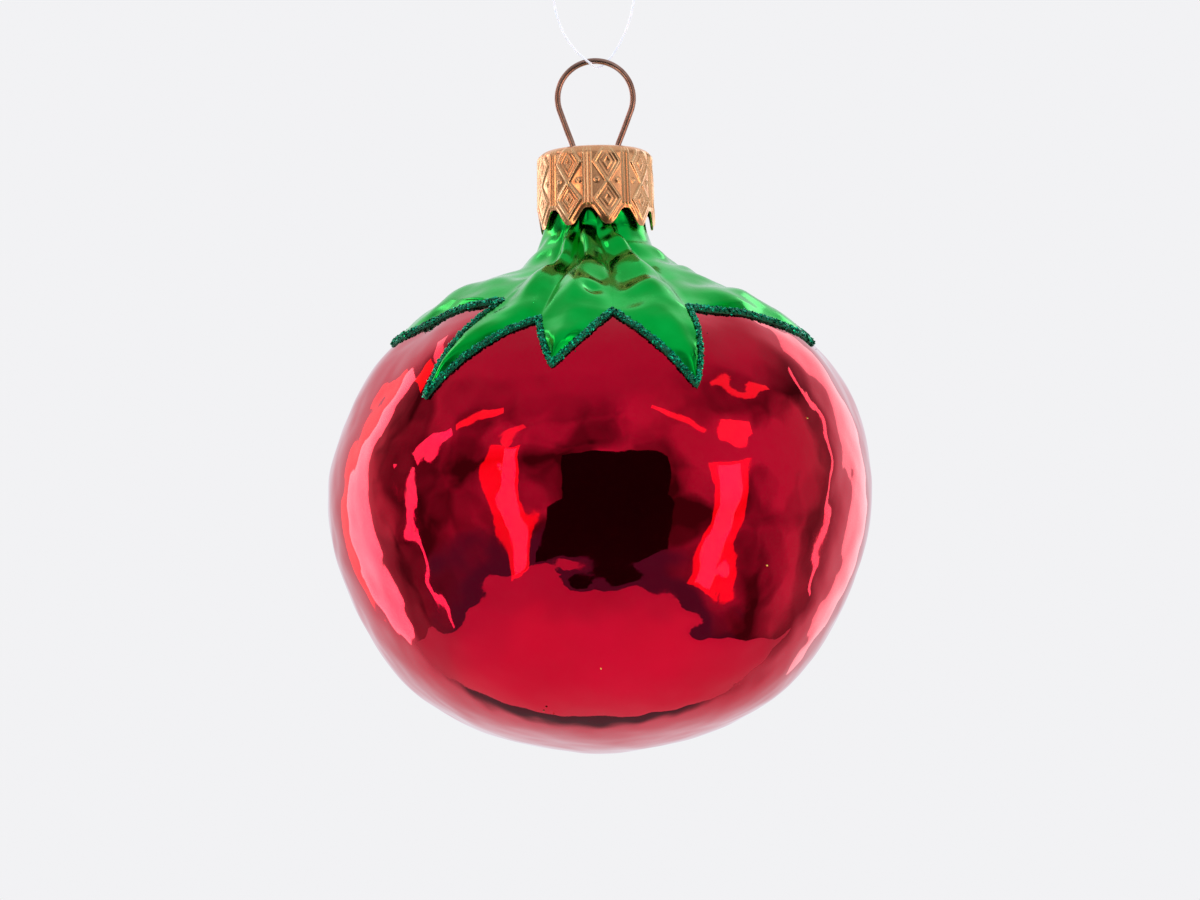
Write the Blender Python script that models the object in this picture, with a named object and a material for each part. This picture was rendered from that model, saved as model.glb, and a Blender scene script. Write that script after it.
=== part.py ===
"""Tomato ornament of blown glass: a thin silvered bulb with an open neck, a green calyx coat,
a beaded glitter outline, a stamped crown cap, a sprung wire hanger and a nylon thread loop.

Frame: +Z up, -Y is the front. The origin is the hang point, the underside of the hanger wire at
the top of its loop, where a thread or a hook bears. Dimensions are in millimetres, heights are
measured from the origin, and azimuths are in degrees from the front towards +X. Blender's metres
are made in one place, in_metres().
"""

import math

import bmesh
import bpy
import numpy as np
from mathutils import Vector
from mathutils.geometry import delaunay_2d_cdt

# ---------------------------------------------------------------- driving dimensions
GAP = 0.3  # clearance between neighbouring pieces

# Glass: the outer surface as (radius, height), from the neck's rim down to the pole.
GLASS_WALL = 0.7
GLASS_SEGMENTS = 40
GLASS_STEPS = 2  # rings to a span of the outline
SURFACE_STEPS = 24  # points to a span of the outline, where pieces are laid on the glass
GLASS_OUTLINE = [
    (6.1, -12.5),
    (6.1, -17.5),
    (6.35, -21.0),
    (7.0, -24.0),
    (8.4, -26.5),
    (12.0, -29.7),
    (18.0, -31.7),
    (22.9, -34.0),
    (28.2, -37.9),
    (32.2, -43.2),
    (34.9, -50.3),
    (35.7, -57.5),
    (34.6, -64.9),
    (31.0, -74.0),
    (25.8, -81.7),
    (18.8, -86.9),
    (9.9, -90.2),
    (0.0, -91.7),
]
# The hand-blown bulb leans to +X: (height, how far its axis lies from the neck's).
LEAN = [(-24.0, 0.0), (-31.0, 1.3), (-42.0, 1.25), (-60.0, 0.5), (-91.7, 0.5)]

# The shoulder stands higher in front and behind than at the sides: (height, lift).
SHOULDER_LIFT = [
    (-22.5, 0.0),
    (-24.0, 0.6),
    (-26.5, 1.5),
    (-29.7, 2.0),
    (-31.7, 0.8),
    (-34.0, 0.2),
    (-37.0, 0.0),
]

# Calyx: the coat's top edge is hidden under the cap. Each leaf is its notch, the middle of its
# first edge, its tip and the middle of its second edge, as (azimuth, height).
CALYX_TOP = -19.0
CALYX_THICKNESS = 0.45
CALYX_SPACING = 2.4
RIDGE_HEIGHT = 1.0
LEAVES = [
    ((-98.0, -33.6), (-88.0, -35.2), (-74.0, -38.2), (-51.0, -35.2)),
    ((-33.4, -34.4), (-38.6, -40.4), (-41.0, -47.0), (-31.2, -41.0)),
    ((-18.1, -36.8), (-15.2, -39.9), (-11.8, -43.4), (-5.0, -39.3)),
    ((2.0, -36.0), (11.0, -40.2), (19.8, -46.0), (22.8, -40.2)),
    ((24.4, -35.4), (46.0, -36.1), (72.0, -38.0), (86.0, -35.6)),
    ((97.0, -34.2), (106.0, -38.6), (113.0, -44.6), (123.0, -40.0)),
    ((134.0, -35.6), (143.0, -41.0), (154.0, -46.8), (164.0, -41.2)),
    ((174.0, -36.4), (187.0, -39.6), (197.0, -44.2), (205.0, -40.6)),
    ((217.0, -35.2), (226.0, -39.6), (238.0, -45.8), (250.0, -39.4)),
]
EDGE_STEPS = 7  # stretches along one edge of a leaf

# Glitter: a domed bead along the calyx's outline.
TRIM_WIDTH = 1.3
TRIM_HEIGHT = 0.6
TRIM_EDGE = 0.25

# Cap: a stamped cup whose skirt ends in one point for each panel.
CAP_RADIUS = 7.55
CAP_FLARE = 0.2
CAP_TOP = -11.85
CAP_SHEET = 0.3
CAP_SHOULDER = 1.3
CAP_VALLEY = -20.2
CAP_POINT = -22.5
PANELS = 9
COLUMNS_PER_PANEL = 8
PANEL_TURN = 12.0  # azimuth of one panel's middle
RIB_HEIGHT = 0.22
RIB_WIDTH = 7.0  # degrees
SLOT_MIDDLE, SLOT_LENGTH, SLOT_WIDTH = 3.3, 2.3, 1.3

# Hanger: one wire, a round loop above the cap and two sprung legs in the neck.
WIRE = 0.8
LOOP_RADIUS = 5.0
LOOP_END = -22.0  # degrees, where the loop's arc runs into its flank
LOOP_STEPS = 12
LEG = [  # (x, height) of one leg's centreline, from the flank to the tip
    (3.75, -8.9),
    (2.95, -11.1),
    (2.85, -12.4),
    (3.25, -14.2),
    (4.1, -17.2),
    (4.6, -21.0),
    (4.65, -26.0),
    (4.4, -31.0),
    (3.9, -35.0),
]
LEG_STEPS = 3

# Thread: its route under the hanger's loop, from one side of the knot to the other.
THREAD = 0.3
KNOT = (0.0, 0.0, 27.0)
KNOT_RADII = (0.75, 0.6, 0.95)
THREAD_ROUTE = [
    (-0.75, -0.05, 25.75),
    (-1.75, -0.15, 23.8),
    (-3.2, -0.25, 20.8),
    (-4.6, -0.35, 17.2),
    (-5.45, -0.4, 13.4),
    (-5.65, -0.45, 10.2),
    (-5.3, -0.5, 7.2),
    (-4.4, -0.62, 4.45),
    (-3.55, -0.75, 2.9),
    (-2.65, -0.87, 1.7),
    (-1.75, -0.93, 0.8),
    (-0.98, -0.86, 0.18),
    (-0.4, -0.57, -0.27),
    (0.15, 0.0, -0.48),
    (0.7, 0.57, -0.27),
    (1.28, 0.86, 0.18),
    (1.95, 0.93, 0.9),
    (2.7, 0.87, 1.95),
    (3.45, 0.75, 3.3),
    (4.15, 0.62, 4.9),
    (4.85, 0.5, 7.2),
    (5.25, 0.45, 10.2),
    (5.1, 0.4, 13.4),
    (4.3, 0.35, 17.2),
    (3.0, 0.25, 20.8),
    (1.65, 0.15, 23.8),
    (0.75, 0.05, 25.75),
]
THREAD_POINTS = 78


# ---------------------------------------------------------------- curves and small helpers
def in_metres(point):
    """A point in millimetres as a Vector in metres."""
    return Vector([0.001 * value for value in point])


def smooth_line(points, steps, mirrored_end=False):
    """Points on a Catmull-Rom curve through points, steps to a span. With mirrored_end the curve
    meets the axis x = 0 at its last point without a kink."""
    line = np.array(points, float)
    before = 2 * line[0] - line[1]
    after = 2 * line[-1] - line[-2]
    if mirrored_end:
        after = line[-2] * np.array([-1.0, 1.0])
    line = np.vstack([before, line, after])
    found = []
    for a, b, c, d in zip(line[:-3], line[1:-2], line[2:-1], line[3:]):
        for t in np.arange(steps) / steps:
            bend = (2 * a - 5 * b + 4 * c - d) * t**2 + (3 * b - a - 3 * c + d) * t**3
            found.append(b + 0.5 * ((c - a) * t + bend))
    found.append(line[-2])
    return np.array(found)


def lengths_along(line):
    """The length of the line up to each of its points."""
    steps = np.linalg.norm(np.diff(line, axis=0), axis=1)
    return np.concatenate([[0.0], np.cumsum(steps)])


def evenly_spaced(line, count):
    """The line again with count points, all the same distance apart."""
    along = lengths_along(line)
    wanted = np.linspace(0.0, along[-1], count)
    columns = [np.interp(wanted, along, line[:, k]) for k in range(line.shape[1])]
    return np.stack(columns, axis=1)


def smooth_step(value, start, end):
    """0 at start, 1 at end, and smooth between them."""
    t = min(1.0, max(0.0, (value - start) / (end - start)))
    return t * t * (3.0 - 2.0 * t)


def add_object(name, data, material):
    """A scene object for a mesh or a curve, with its material."""
    obj = bpy.data.objects.new(name, data)
    data.materials.append(material)
    bpy.context.scene.collection.objects.link(obj)
    return obj


def add_mesh(name, bm, material, sharp_angle=40.0):
    """A smooth-shaded object from a closed bmesh, with its faces pointing out."""
    bmesh.ops.recalc_face_normals(bm, faces=bm.faces)
    mesh = bpy.data.meshes.new(name)
    bm.to_mesh(mesh)
    bm.free()
    mesh.shade_smooth()
    mesh.set_sharp_from_angle(angle=math.radians(sharp_angle))
    return add_object(name, mesh, material)


def add_wire(name, line, diameter, material):
    """A round wire or thread along a line of points in millimetres."""
    curve = bpy.data.curves.new(name, "CURVE")
    curve.dimensions = "3D"
    curve.bevel_depth = 0.0005 * diameter
    curve.bevel_resolution = 2
    curve.use_fill_caps = True
    spline = curve.splines.new("POLY")
    spline.points.add(len(line) - 1)
    for spot, point in zip(spline.points, line):
        spot.co = (*in_metres(point), 1.0)
    return add_object(name, curve, material)


def spun(outline, segments):
    """A bmesh turned once about +Z from an outline of (radius, height) points."""
    bm = bmesh.new()
    verts = [bm.verts.new(in_metres((r, 0.0, z))) for r, z in outline]
    edges = [bm.edges.new(pair) for pair in zip(verts, verts[1:])]
    bmesh.ops.spin(
        bm,
        geom=verts + edges,
        cent=(0.0, 0.0, 0.0),
        axis=(0.0, 0.0, 1.0),
        angle=math.tau,
        steps=segments,
        use_merge=True,
    )
    bmesh.ops.remove_doubles(bm, verts=bm.verts, dist=1e-6)
    return bm


def material(name, colour, roughness, metallic):
    made = bpy.data.materials.new(name)
    made.use_nodes = True
    shader = made.node_tree.nodes["Principled BSDF"]
    shader.inputs["Base Color"].default_value = (*colour, 1.0)
    shader.inputs["Roughness"].default_value = roughness
    shader.inputs["Metallic"].default_value = metallic
    return made


# ---------------------------------------------------------------- the glass surface
class GlassSurface:
    """The bulb's outer surface, addressed by azimuth and by s, the length down the profile from
    the neck's rim."""

    def __init__(self):
        line = smooth_line(GLASS_OUTLINE, SURFACE_STEPS, mirrored_end=True)
        self.s = lengths_along(line)
        self.line = line
        slope = np.gradient(line, self.s, axis=0)
        slope /= np.linalg.norm(slope, axis=1)[:, None]
        self.normal = np.stack([-slope[:, 1], slope[:, 0]], axis=1)

    def s_at(self, height):
        return float(np.interp(-height, -self.line[:, 1], self.s))

    def profile(self, s, offset):
        """(radius, height) at s, moved outwards by offset."""
        spot = [
            np.interp(s, self.s, self.line[:, k] + offset * self.normal[:, k])
            for k in (0, 1)
        ]
        return max(float(spot[0]), 0.0), float(spot[1])

    def point(self, azimuth, s, offset):
        radius, height = self.profile(s, offset)
        turn = math.radians(azimuth)
        x = radius * math.sin(turn) + bulb_shift(height)
        return x, -radius * math.cos(turn), height + shoulder_lift(azimuth, height)


def bulb_shift(height):
    """How far the bulb's axis lies from the neck's at this height."""
    shift = LEAN[0][1]
    for (top, start), (bottom, end) in zip(LEAN, LEAN[1:]):
        shift += (end - start) * smooth_step(height, top, bottom)
    return shift


def shoulder_lift(azimuth, height):
    """How much higher than at the sides the glass lies at this azimuth."""
    levels = np.array(SHOULDER_LIFT)
    lift = np.interp(-height, -levels[:, 0], levels[:, 1])
    return math.cos(math.radians(azimuth)) ** 2 * float(lift)


def make_glass(surface, finish):
    """The bulb: outer skin from pole to rim, then the inner skin back to the pole."""
    down = surface.s[:: SURFACE_STEPS // GLASS_STEPS]
    outside = [surface.profile(s, 0.0) for s in down[::-1]]
    inside = [surface.profile(s, -GLASS_WALL) for s in down]
    inside[-1] = (0.0, inside[-1][1])
    bm = spun(outside + inside, GLASS_SEGMENTS)
    for vert in bm.verts:
        azimuth, height = math.degrees(math.atan2(vert.co.x, -vert.co.y)), vert.co.z * 1000
        vert.co.x += 0.001 * bulb_shift(height)
        vert.co.z += 0.001 * shoulder_lift(azimuth, height)
    return add_mesh("glass_bulb", bm, finish, sharp_angle=60.0)


# ---------------------------------------------------------------- plates laid on the glass
# The calyx and its trim are cut from a flat chart of the bulb: a point of the chart has the
# glass point's azimuth as its direction and s as its distance from the chart's centre.
def to_chart(surface, azimuth, height):
    s, turn = surface.s_at(height), math.radians(azimuth)
    return s * math.sin(turn), -s * math.cos(turn)


def from_chart(surface, point, offset):
    azimuth = math.degrees(math.atan2(point[0], -point[1]))
    return surface.point(azimuth, math.hypot(*point), offset)


def leaf_edge(start, middle, end):
    """A curved edge of a leaf through its middle point, without its last point."""
    start, middle, end = (np.array(p) for p in (start, middle, end))
    pull = 2 * middle - 0.5 * (start + end)
    found = []
    for t in np.arange(EDGE_STEPS) / EDGE_STEPS:
        found.append((1 - t) ** 2 * start + 2 * t * (1 - t) * pull + t**2 * end)
    return found


def calyx_outline(surface):
    """The zigzag round all the leaves, as a closed loop on the chart."""
    found = []
    for leaf, following in zip(LEAVES, LEAVES[1:] + LEAVES[:1]):
        notch, first, tip, second = leaf
        next_notch = following[0]
        if next_notch[0] < notch[0]:
            next_notch = (next_notch[0] + 360.0, next_notch[1])
        found += leaf_edge(notch, first, tip) + leaf_edge(tip, second, next_notch)
    return np.array([to_chart(surface, *spot) for spot in found])


def distance_to_loop(point, loop):
    ends = np.roll(loop, -1, axis=0)
    sides = ends - loop
    t = ((point - loop) * sides).sum(1) / (sides * sides).sum(1)
    nearest = loop + np.clip(t, 0.0, 1.0)[:, None] * sides
    return float(np.linalg.norm(point - nearest, axis=1).min())


def inside_loop(point, loop):
    x, y = point
    inside = False
    for (x0, y0), (x1, y1) in zip(loop, np.roll(loop, -1, axis=0)):
        if (y0 > y) != (y1 > y) and x < x0 + (x1 - x0) * (y - y0) / (y1 - y0):
            inside = not inside
    return inside


def offset_loop(loop, distance):
    """The loop moved outwards by distance, or inwards if it is negative, with the points that
    a corner would fold over left out."""
    ahead, behind = np.roll(loop, -1, axis=0), np.roll(loop, 1, axis=0)
    found = []
    for point, after, before in zip(loop, ahead, behind):
        for along in (point - before, after - point):
            normal = np.array([along[1], -along[0]]) / np.linalg.norm(along)
            moved = point + distance * normal
            if distance_to_loop(moved, loop) > 0.97 * abs(distance):
                found.append(moved)
    kept = [found[0]]
    for moved in found[1:]:
        if np.linalg.norm(moved - kept[-1]) > 0.25:
            kept.append(moved)
    return np.array(kept)


def plate_on_glass(name, surface, outer, inner, spots, low, high, finish):
    """A closed plate over the part of the chart between two loops. spots are points inside it,
    and low and high give the offsets of its two faces from the glass at a chart point."""
    points = [Vector(p) for p in [*outer, *inner, *spots]]
    count, hole = len(outer), len(inner)
    edges = [(i, (i + 1) % count) for i in range(count)]
    edges += [(count + i, count + (i + 1) % hole) for i in range(hole)]
    verts, _, faces, *_ = delaunay_2d_cdt(points, edges, [], 0, 1e-5)
    kept = []
    for face in faces:
        middle = sum((np.array(verts[i]) for i in face), np.zeros(2)) / 3
        if inside_loop(middle, outer) and not inside_loop(middle, inner):
            kept.append(face)
    bm = bmesh.new()
    bottom = [bm.verts.new(in_metres(from_chart(surface, p, low(p)))) for p in verts]
    top = [bm.verts.new(in_metres(from_chart(surface, p, high(p)))) for p in verts]
    uses = {}
    for a, b, c in kept:
        bm.faces.new((top[a], top[b], top[c]))
        bm.faces.new((bottom[c], bottom[b], bottom[a]))
        for side in ((a, b), (b, c), (c, a)):
            uses.setdefault(frozenset(side), []).append(side)
    for sides in uses.values():
        if len(sides) == 1:
            a, b = sides[0]
            bm.faces.new((top[b], top[a], bottom[a], bottom[b]))
    loose = [vert for vert in bm.verts if not vert.link_faces]
    bmesh.ops.delete(bm, geom=loose, context="VERTS")
    return add_mesh(name, bm, finish)


def chart_circle(radius, count):
    turns = [math.tau * i / count for i in range(count)]
    return np.array([(radius * math.sin(t), -radius * math.cos(t)) for t in turns])


def ridge_share(surface, point):
    """How much of the leaves' middle ridge there is at a chart point, from 0 to 1."""
    azimuth = math.degrees(math.atan2(point[0], -point[1]))
    s = math.hypot(*point)
    share = 0.0
    for leaf, following in zip(LEAVES, LEAVES[1:] + LEAVES[:1]):
        tip, width = leaf[2], (following[0][0] - leaf[0][0]) % 360.0
        root = leaf[0][0] + 0.5 * width
        tip_s = surface.s_at(tip[1])
        lean = smooth_step(s, surface.s_at(-28.0), tip_s)
        away = (azimuth - root - (tip[0] - root) * lean + 180.0) % 360.0 - 180.0
        spread = max(4.0, 0.2 * width)
        fade = 1.0 - smooth_step(s, tip_s - 5.0, tip_s)
        share = max(share, fade * math.exp(-((away / spread) ** 2)))
    return share * smooth_step(s, surface.s_at(-22.5), surface.s_at(-27.0))


def make_calyx(surface, outline, finish):
    """The green coat on the neck and the leaves, stopping short of the glitter bead."""
    outer = offset_loop(outline, -(TRIM_WIDTH / 2 + GAP))
    start = surface.s_at(CALYX_TOP)
    inner = chart_circle(start, 36)
    spots = []
    rings = int((np.linalg.norm(outer, axis=1).max() - start) / CALYX_SPACING)
    for ring in range(1, rings + 1):
        radius = start + ring * CALYX_SPACING
        count = max(24, round(math.tau * radius / (1.25 * CALYX_SPACING)))
        for spot in chart_circle(radius, count):
            clear = distance_to_loop(spot, outer) > 0.45 * CALYX_SPACING
            if clear and inside_loop(spot, outer):
                spots.append(spot)

    def high(point):
        return GAP + CALYX_THICKNESS + RIDGE_HEIGHT * ridge_share(surface, point)

    return plate_on_glass(
        "calyx_lacquer", surface, outer, inner, spots, lambda _: GAP, high, finish
    )


def make_trim(surface, outline, finish):
    """The glitter bead: highest along the outline, thin at its two edges."""
    outer = offset_loop(outline, TRIM_WIDTH / 2)
    inner = offset_loop(outline, -TRIM_WIDTH / 2)

    def high(point):
        away = distance_to_loop(np.array(point), outline) / (TRIM_WIDTH / 2)
        crown = math.sqrt(max(0.0, 1.0 - min(1.0, away) ** 2))
        return GAP + TRIM_EDGE + (TRIM_HEIGHT - TRIM_EDGE) * crown

    return plate_on_glass(
        "glitter_trim", surface, outer, inner, outline, lambda _: GAP, high, finish
    )


# ---------------------------------------------------------------- cap
def scallop(azimuth):
    """Height of the skirt's edge: a rounded point in the middle of each panel."""
    turn = (azimuth - PANEL_TURN) * PANELS / 360.0
    away = abs(turn - round(turn)) * 2.0  # 0 at a panel's middle, 1 between panels
    drop = 1.0 - smooth_step(away, 0.05, 0.85)
    return CAP_VALLEY + (CAP_POINT - CAP_VALLEY) * drop


def rib(azimuth):
    """How far the raised rib between two panels stands proud."""
    turn = (azimuth - PANEL_TURN) * PANELS / 360.0 - 0.5
    away = abs(turn - round(turn)) * 360.0 / PANELS
    return RIB_HEIGHT * math.exp(-((away / (RIB_WIDTH / 2)) ** 2))


def cap_outline(sheet):
    """The cap's side view as (radius, height), from the middle of the top to the skirt's edge."""
    top, radius = CAP_TOP - sheet, CAP_RADIUS - sheet
    bend = CAP_SHOULDER - sheet
    found = [(0.0, top), (0.5 * radius, top)]
    for turn in (90.0, 60.0, 30.0, 0.0):
        x, z = (math.cos(math.radians(turn)), math.sin(math.radians(turn)))
        found.append((radius - bend + bend * x, top - bend + bend * z))
    return found + [(radius, 0.5 * (top + CAP_VALLEY)), (radius, CAP_VALLEY)]


def shape_skirt(vert):
    """Gives a vertex of the plain cup its rib, its flare and its share of the scallops."""
    x, y, z = (value * 1000 for value in vert.co)
    radius = math.hypot(x, y)
    if radius < 0.6 * CAP_RADIUS:
        return
    azimuth = math.degrees(math.atan2(x, -y))
    skirt_top = CAP_TOP - CAP_SHOULDER
    share = min(1.0, max(0.0, (skirt_top - z) / (skirt_top - CAP_VALLEY)))
    grown = radius + share * CAP_FLARE + smooth_step(share, 0.0, 0.2) * rib(azimuth)
    z += share * (scallop(azimuth) - CAP_VALLEY)
    vert.co = in_metres((x * grown / radius, y * grown / radius, z))


def cut_slot(cap, side):
    """Cuts the slot that one leg of the hanger passes through."""
    bm = bmesh.new()
    half, radius = 0.5 * (SLOT_LENGTH - SLOT_WIDTH), 0.5 * SLOT_WIDTH
    rim = []
    for step in range(24):
        turn = math.tau * (step + 0.5) / 24
        x = side * SLOT_MIDDLE + radius * math.cos(turn) + math.copysign(half, math.cos(turn))
        rim.append(bm.verts.new(in_metres((x, radius * math.sin(turn), CAP_TOP + 2.0))))
    face = bm.faces.new(rim)
    grown = bmesh.ops.extrude_face_region(bm, geom=[face])["geom"]
    moved = [part for part in grown if isinstance(part, bmesh.types.BMVert)]
    bmesh.ops.translate(bm, verts=moved, vec=in_metres((0.0, 0.0, -4.0)))
    cutter = add_mesh(f"slot_cutter_{'left' if side < 0 else 'right'}", bm, cap.active_material)
    cutter.hide_render = True
    cutter.display_type = "WIRE"
    cut = cap.modifiers.new(cutter.name, "BOOLEAN")
    cut.operation = "DIFFERENCE"
    cut.solver = "EXACT"
    cut.object = cutter


def make_cap(finish):
    outline = cap_outline(0.0) + cap_outline(CAP_SHEET)[::-1]
    bm = spun(outline, PANELS * COLUMNS_PER_PANEL)
    for vert in bm.verts:
        shape_skirt(vert)
    cap = add_mesh("crown_cap", bm, finish)
    for side in (-1, 1):
        cut_slot(cap, side)
    return cap


# ---------------------------------------------------------------- hanger and thread
def hanger_line():
    """The hanger's centreline: left leg, loop and right leg."""
    top = WIRE / 2
    arc = []
    for turn in np.linspace(90.0, LOOP_END, LOOP_STEPS + 1):
        x = LOOP_RADIUS * math.cos(math.radians(turn))
        z = top - LOOP_RADIUS + LOOP_RADIUS * math.sin(math.radians(turn))
        arc.append((x, z))
    leg = smooth_line([arc[-1], *LEG], LEG_STEPS)
    right = arc + [tuple(spot) for spot in leg[1:]]
    left = [(-x, z) for x, z in right[:0:-1]]
    return [(x, 0.0, z) for x, z in left + right]


def make_thread(finish):
    line = evenly_spaced(smooth_line(THREAD_ROUTE, 12), THREAD_POINTS)
    return add_wire("hang_thread", line, THREAD, finish)


def make_knot(finish):
    """The knot that joins the thread's two ends, as one rounded body."""
    bm = bmesh.new()
    bmesh.ops.create_icosphere(bm, subdivisions=2, radius=0.001)
    for vert in bm.verts:
        vert.co = in_metres(KNOT) + Vector([c * r for c, r in zip(vert.co, KNOT_RADII)])
    return add_mesh("thread_knot", bm, finish)


# ---------------------------------------------------------------- the ornament
def main():
    for obj in list(bpy.data.objects):
        bpy.data.objects.remove(obj)
    red = material("red_lacquered_glass", (0.50, 0.004, 0.02), 0.04, 1.0)
    green = material("green_lacquer", (0.01, 0.33, 0.06), 0.08, 0.9)
    glitter = material("green_glitter", (0.0, 0.09, 0.04), 0.45, 0.0)
    gold = material("gold_stamping", (0.72, 0.45, 0.18), 0.28, 1.0)
    bronze = material("bronzed_wire", (0.36, 0.22, 0.17), 0.35, 1.0)
    nylon = material("nylon", (0.86, 0.88, 0.92), 0.15, 0.0)

    surface = GlassSurface()
    outline = calyx_outline(surface)
    make_glass(surface, red)
    make_calyx(surface, outline, green)
    make_trim(surface, outline, glitter)
    make_cap(gold)
    add_wire("hanger_wire", hanger_line(), WIRE, bronze)
    make_thread(nylon)
    make_knot(nylon)


main()
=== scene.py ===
"""Looks of the blown-glass tomato ornament: mirrored red glass, the green calyx with its glitter
edge, the stamped crown cap, the wire hanger and the nylon thread.

Heights and lengths are in millimetres and azimuths in degrees from the front (-Y) towards +X, as
in the CAD model, whose origin is the hang point. Meshes turn them into metres as they are made.
"""

import math

import bpy
import numpy as np
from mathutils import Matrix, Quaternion, Vector
from mathutils.geometry import delaunay_2d_cdt


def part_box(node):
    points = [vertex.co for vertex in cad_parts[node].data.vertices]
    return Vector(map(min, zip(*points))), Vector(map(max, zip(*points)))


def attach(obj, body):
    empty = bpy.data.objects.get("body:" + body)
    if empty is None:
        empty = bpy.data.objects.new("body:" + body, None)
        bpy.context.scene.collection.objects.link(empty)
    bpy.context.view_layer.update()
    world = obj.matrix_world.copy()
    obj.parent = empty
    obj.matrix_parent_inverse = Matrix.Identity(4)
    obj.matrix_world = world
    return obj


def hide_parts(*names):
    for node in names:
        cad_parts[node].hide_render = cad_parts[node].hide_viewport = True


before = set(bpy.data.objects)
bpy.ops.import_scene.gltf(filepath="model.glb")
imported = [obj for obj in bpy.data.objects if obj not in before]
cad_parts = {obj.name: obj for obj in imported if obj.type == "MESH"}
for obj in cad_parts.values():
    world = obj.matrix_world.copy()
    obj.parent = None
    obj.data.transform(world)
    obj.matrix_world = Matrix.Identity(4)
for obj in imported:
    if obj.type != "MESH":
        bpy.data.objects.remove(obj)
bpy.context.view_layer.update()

MM = 0.001

# ---------------------------------------------------------------- driving dimensions
GLASS_OUTLINE = [  # (radius, height) from the neck's rim down to the pole
    (6.1, -12.5), (6.1, -17.5), (6.35, -21.0), (7.0, -24.0), (8.4, -26.5), (12.0, -29.7),
    (18.0, -31.7), (22.9, -34.0), (28.2, -37.9), (32.2, -43.2), (34.9, -50.3), (35.7, -57.5),
    (34.6, -64.9), (31.0, -74.0), (25.8, -81.7), (18.8, -86.9), (9.9, -90.2), (0.0, -91.7),
]
GLASS_WALL = 0.7
# The hand-blown bulb leans to +X: (height, how far its axis lies from the neck's).
LEAN = [(-24.0, 0.0), (-31.0, 1.3), (-42.0, 1.25), (-60.0, 0.5), (-91.7, 0.5)]
# The shoulder stands higher in front and behind than at the sides: (height, lift).
SHOULDER_LIFT = [
    (-22.5, 0.0), (-24.0, 0.6), (-26.5, 1.5), (-29.7, 2.0),
    (-31.7, 0.8), (-34.0, 0.2), (-37.0, 0.0),
]
GLASS_COLUMNS = 384
INNER_COLUMNS = 96
ROW_SPACING = 0.52

# Shallow grooves between the tomato's lobes: azimuth, depth, width in degrees.
GROOVES = [
    (-58.0, 0.45, 9.0), (-14.0, 0.25, 8.0), (31.0, 0.40, 8.0), (78.0, 0.45, 10.0),
    (121.0, 0.35, 9.0), (168.0, 0.45, 9.0), (212.0, 0.40, 10.0), (255.0, 0.35, 9.0),
]
GROOVE_FROM, GROOVE_TO = -31.0, -62.0

# Waves of the hand-blown skin: wavelength, height.
SKIN_WAVES = [(38.0, 0.20), (15.0, 0.055), (7.5, 0.022), (4.4, 0.013), (2.7, 0.005)]
LEAF_WAVES = [(9.0, 0.16), (5.5, 0.09), (3.2, 0.025)]

# Each leaf: its notch, the middle of its first edge, its tip, the middle of its second edge.
LEAVES = [
    ((-98.0, -33.6), (-88.0, -35.2), (-74.0, -38.2), (-51.0, -35.2)),
    ((-33.4, -34.4), (-38.6, -40.4), (-41.0, -47.0), (-31.2, -41.0)),
    ((-18.1, -36.8), (-15.2, -39.9), (-11.8, -43.4), (-5.0, -39.3)),
    ((2.0, -36.0), (11.0, -40.2), (19.8, -46.0), (22.8, -40.2)),
    ((24.4, -35.4), (46.0, -36.1), (72.0, -38.0), (86.0, -35.6)),
    ((97.0, -34.2), (106.0, -38.6), (113.0, -44.6), (123.0, -40.0)),
    ((134.0, -35.6), (143.0, -41.0), (154.0, -46.8), (164.0, -41.2)),
    ((174.0, -36.4), (187.0, -39.6), (197.0, -44.2), (205.0, -40.6)),
    ((217.0, -35.2), (226.0, -39.6), (238.0, -45.8), (250.0, -39.4)),
]
CALYX_TOP = -18.6
LEAF_NECK_ROWS, LEAF_EDGE_ROWS, LEAF_COLUMNS = 46, 40, 30
LEAF_BASE = 0.22  # height of the leaf's edge over the glass
# Height of a leaf's middle ridge over its edges, down its length: (height, ridge).
RIDGE = [
    (-18.0, 0.12), (-22.4, 0.22), (-24.0, 0.80), (-27.0, 1.35),
    (-30.0, 1.55), (-33.0, 1.25), (-37.0, 0.85), (-47.0, 0.45),
]
DIMPLE = (-4.7, -33.5, 1.25, 0.75)  # azimuth, height, radius, depth

BEAD_WIDTH = 1.15
BEAD_HEIGHT = 0.24
BEAD_STEP = 0.24
FLAKES, FLAKE_SIZE = 7500, 0.17
FLAKE_TILT, FLAKE_THICKNESS = 0.55, 0.22  # spread of the tilt, and half the thickness over size
STRAY_FLAKES, STRAY_REACH, STRAY_SIZE, SPECK_SIZE = 110, 0.9, 0.09, 0.15
GOLD_SPECKS = [  # (azimuth, height)
    (-17.5, -85.2), (-19.0, -85.6), (-16.0, -86.0), (0.5, -81.0),
    (48.0, -49.4), (39.0, -68.2), (-150.0, -62.0), (120.0, -74.0),
]

# Cap: the cup's own sizes, then its stamping, in panels round the skirt.
CAP_RADIUS, CAP_FLARE, CAP_TOP, CAP_SHEET, CAP_SHOULDER = 7.5, 0.15, -11.85, 0.25, 1.3
CAP_VALLEY, CAP_POINT = -20.2, -22.4
CAP_TILT, CAP_PIVOT = 1.4, -16.0  # degrees about Y, and the height it tilts about
PANELS, PANEL_TURN = 9, 12.0
CAP_COLUMNS, CAP_ROWS, SHOULDER_ROWS = PANELS * 50, 76, 9
STAMP_HEIGHT = 0.17
DIAMONDS = [(-14.2, 2.7), (-19.1, 2.4)]  # (middle, half height)
DIAMOND_WIDTH = 1.65  # half its width
DOT_PLACE = (1.42, -16.6)
RIB_SPACING, RIB_END = 0.46, -19.9
SLOT_MIDDLE, SLOT_LENGTH, SLOT_WIDTH = 3.3, 2.3, 1.3

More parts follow.
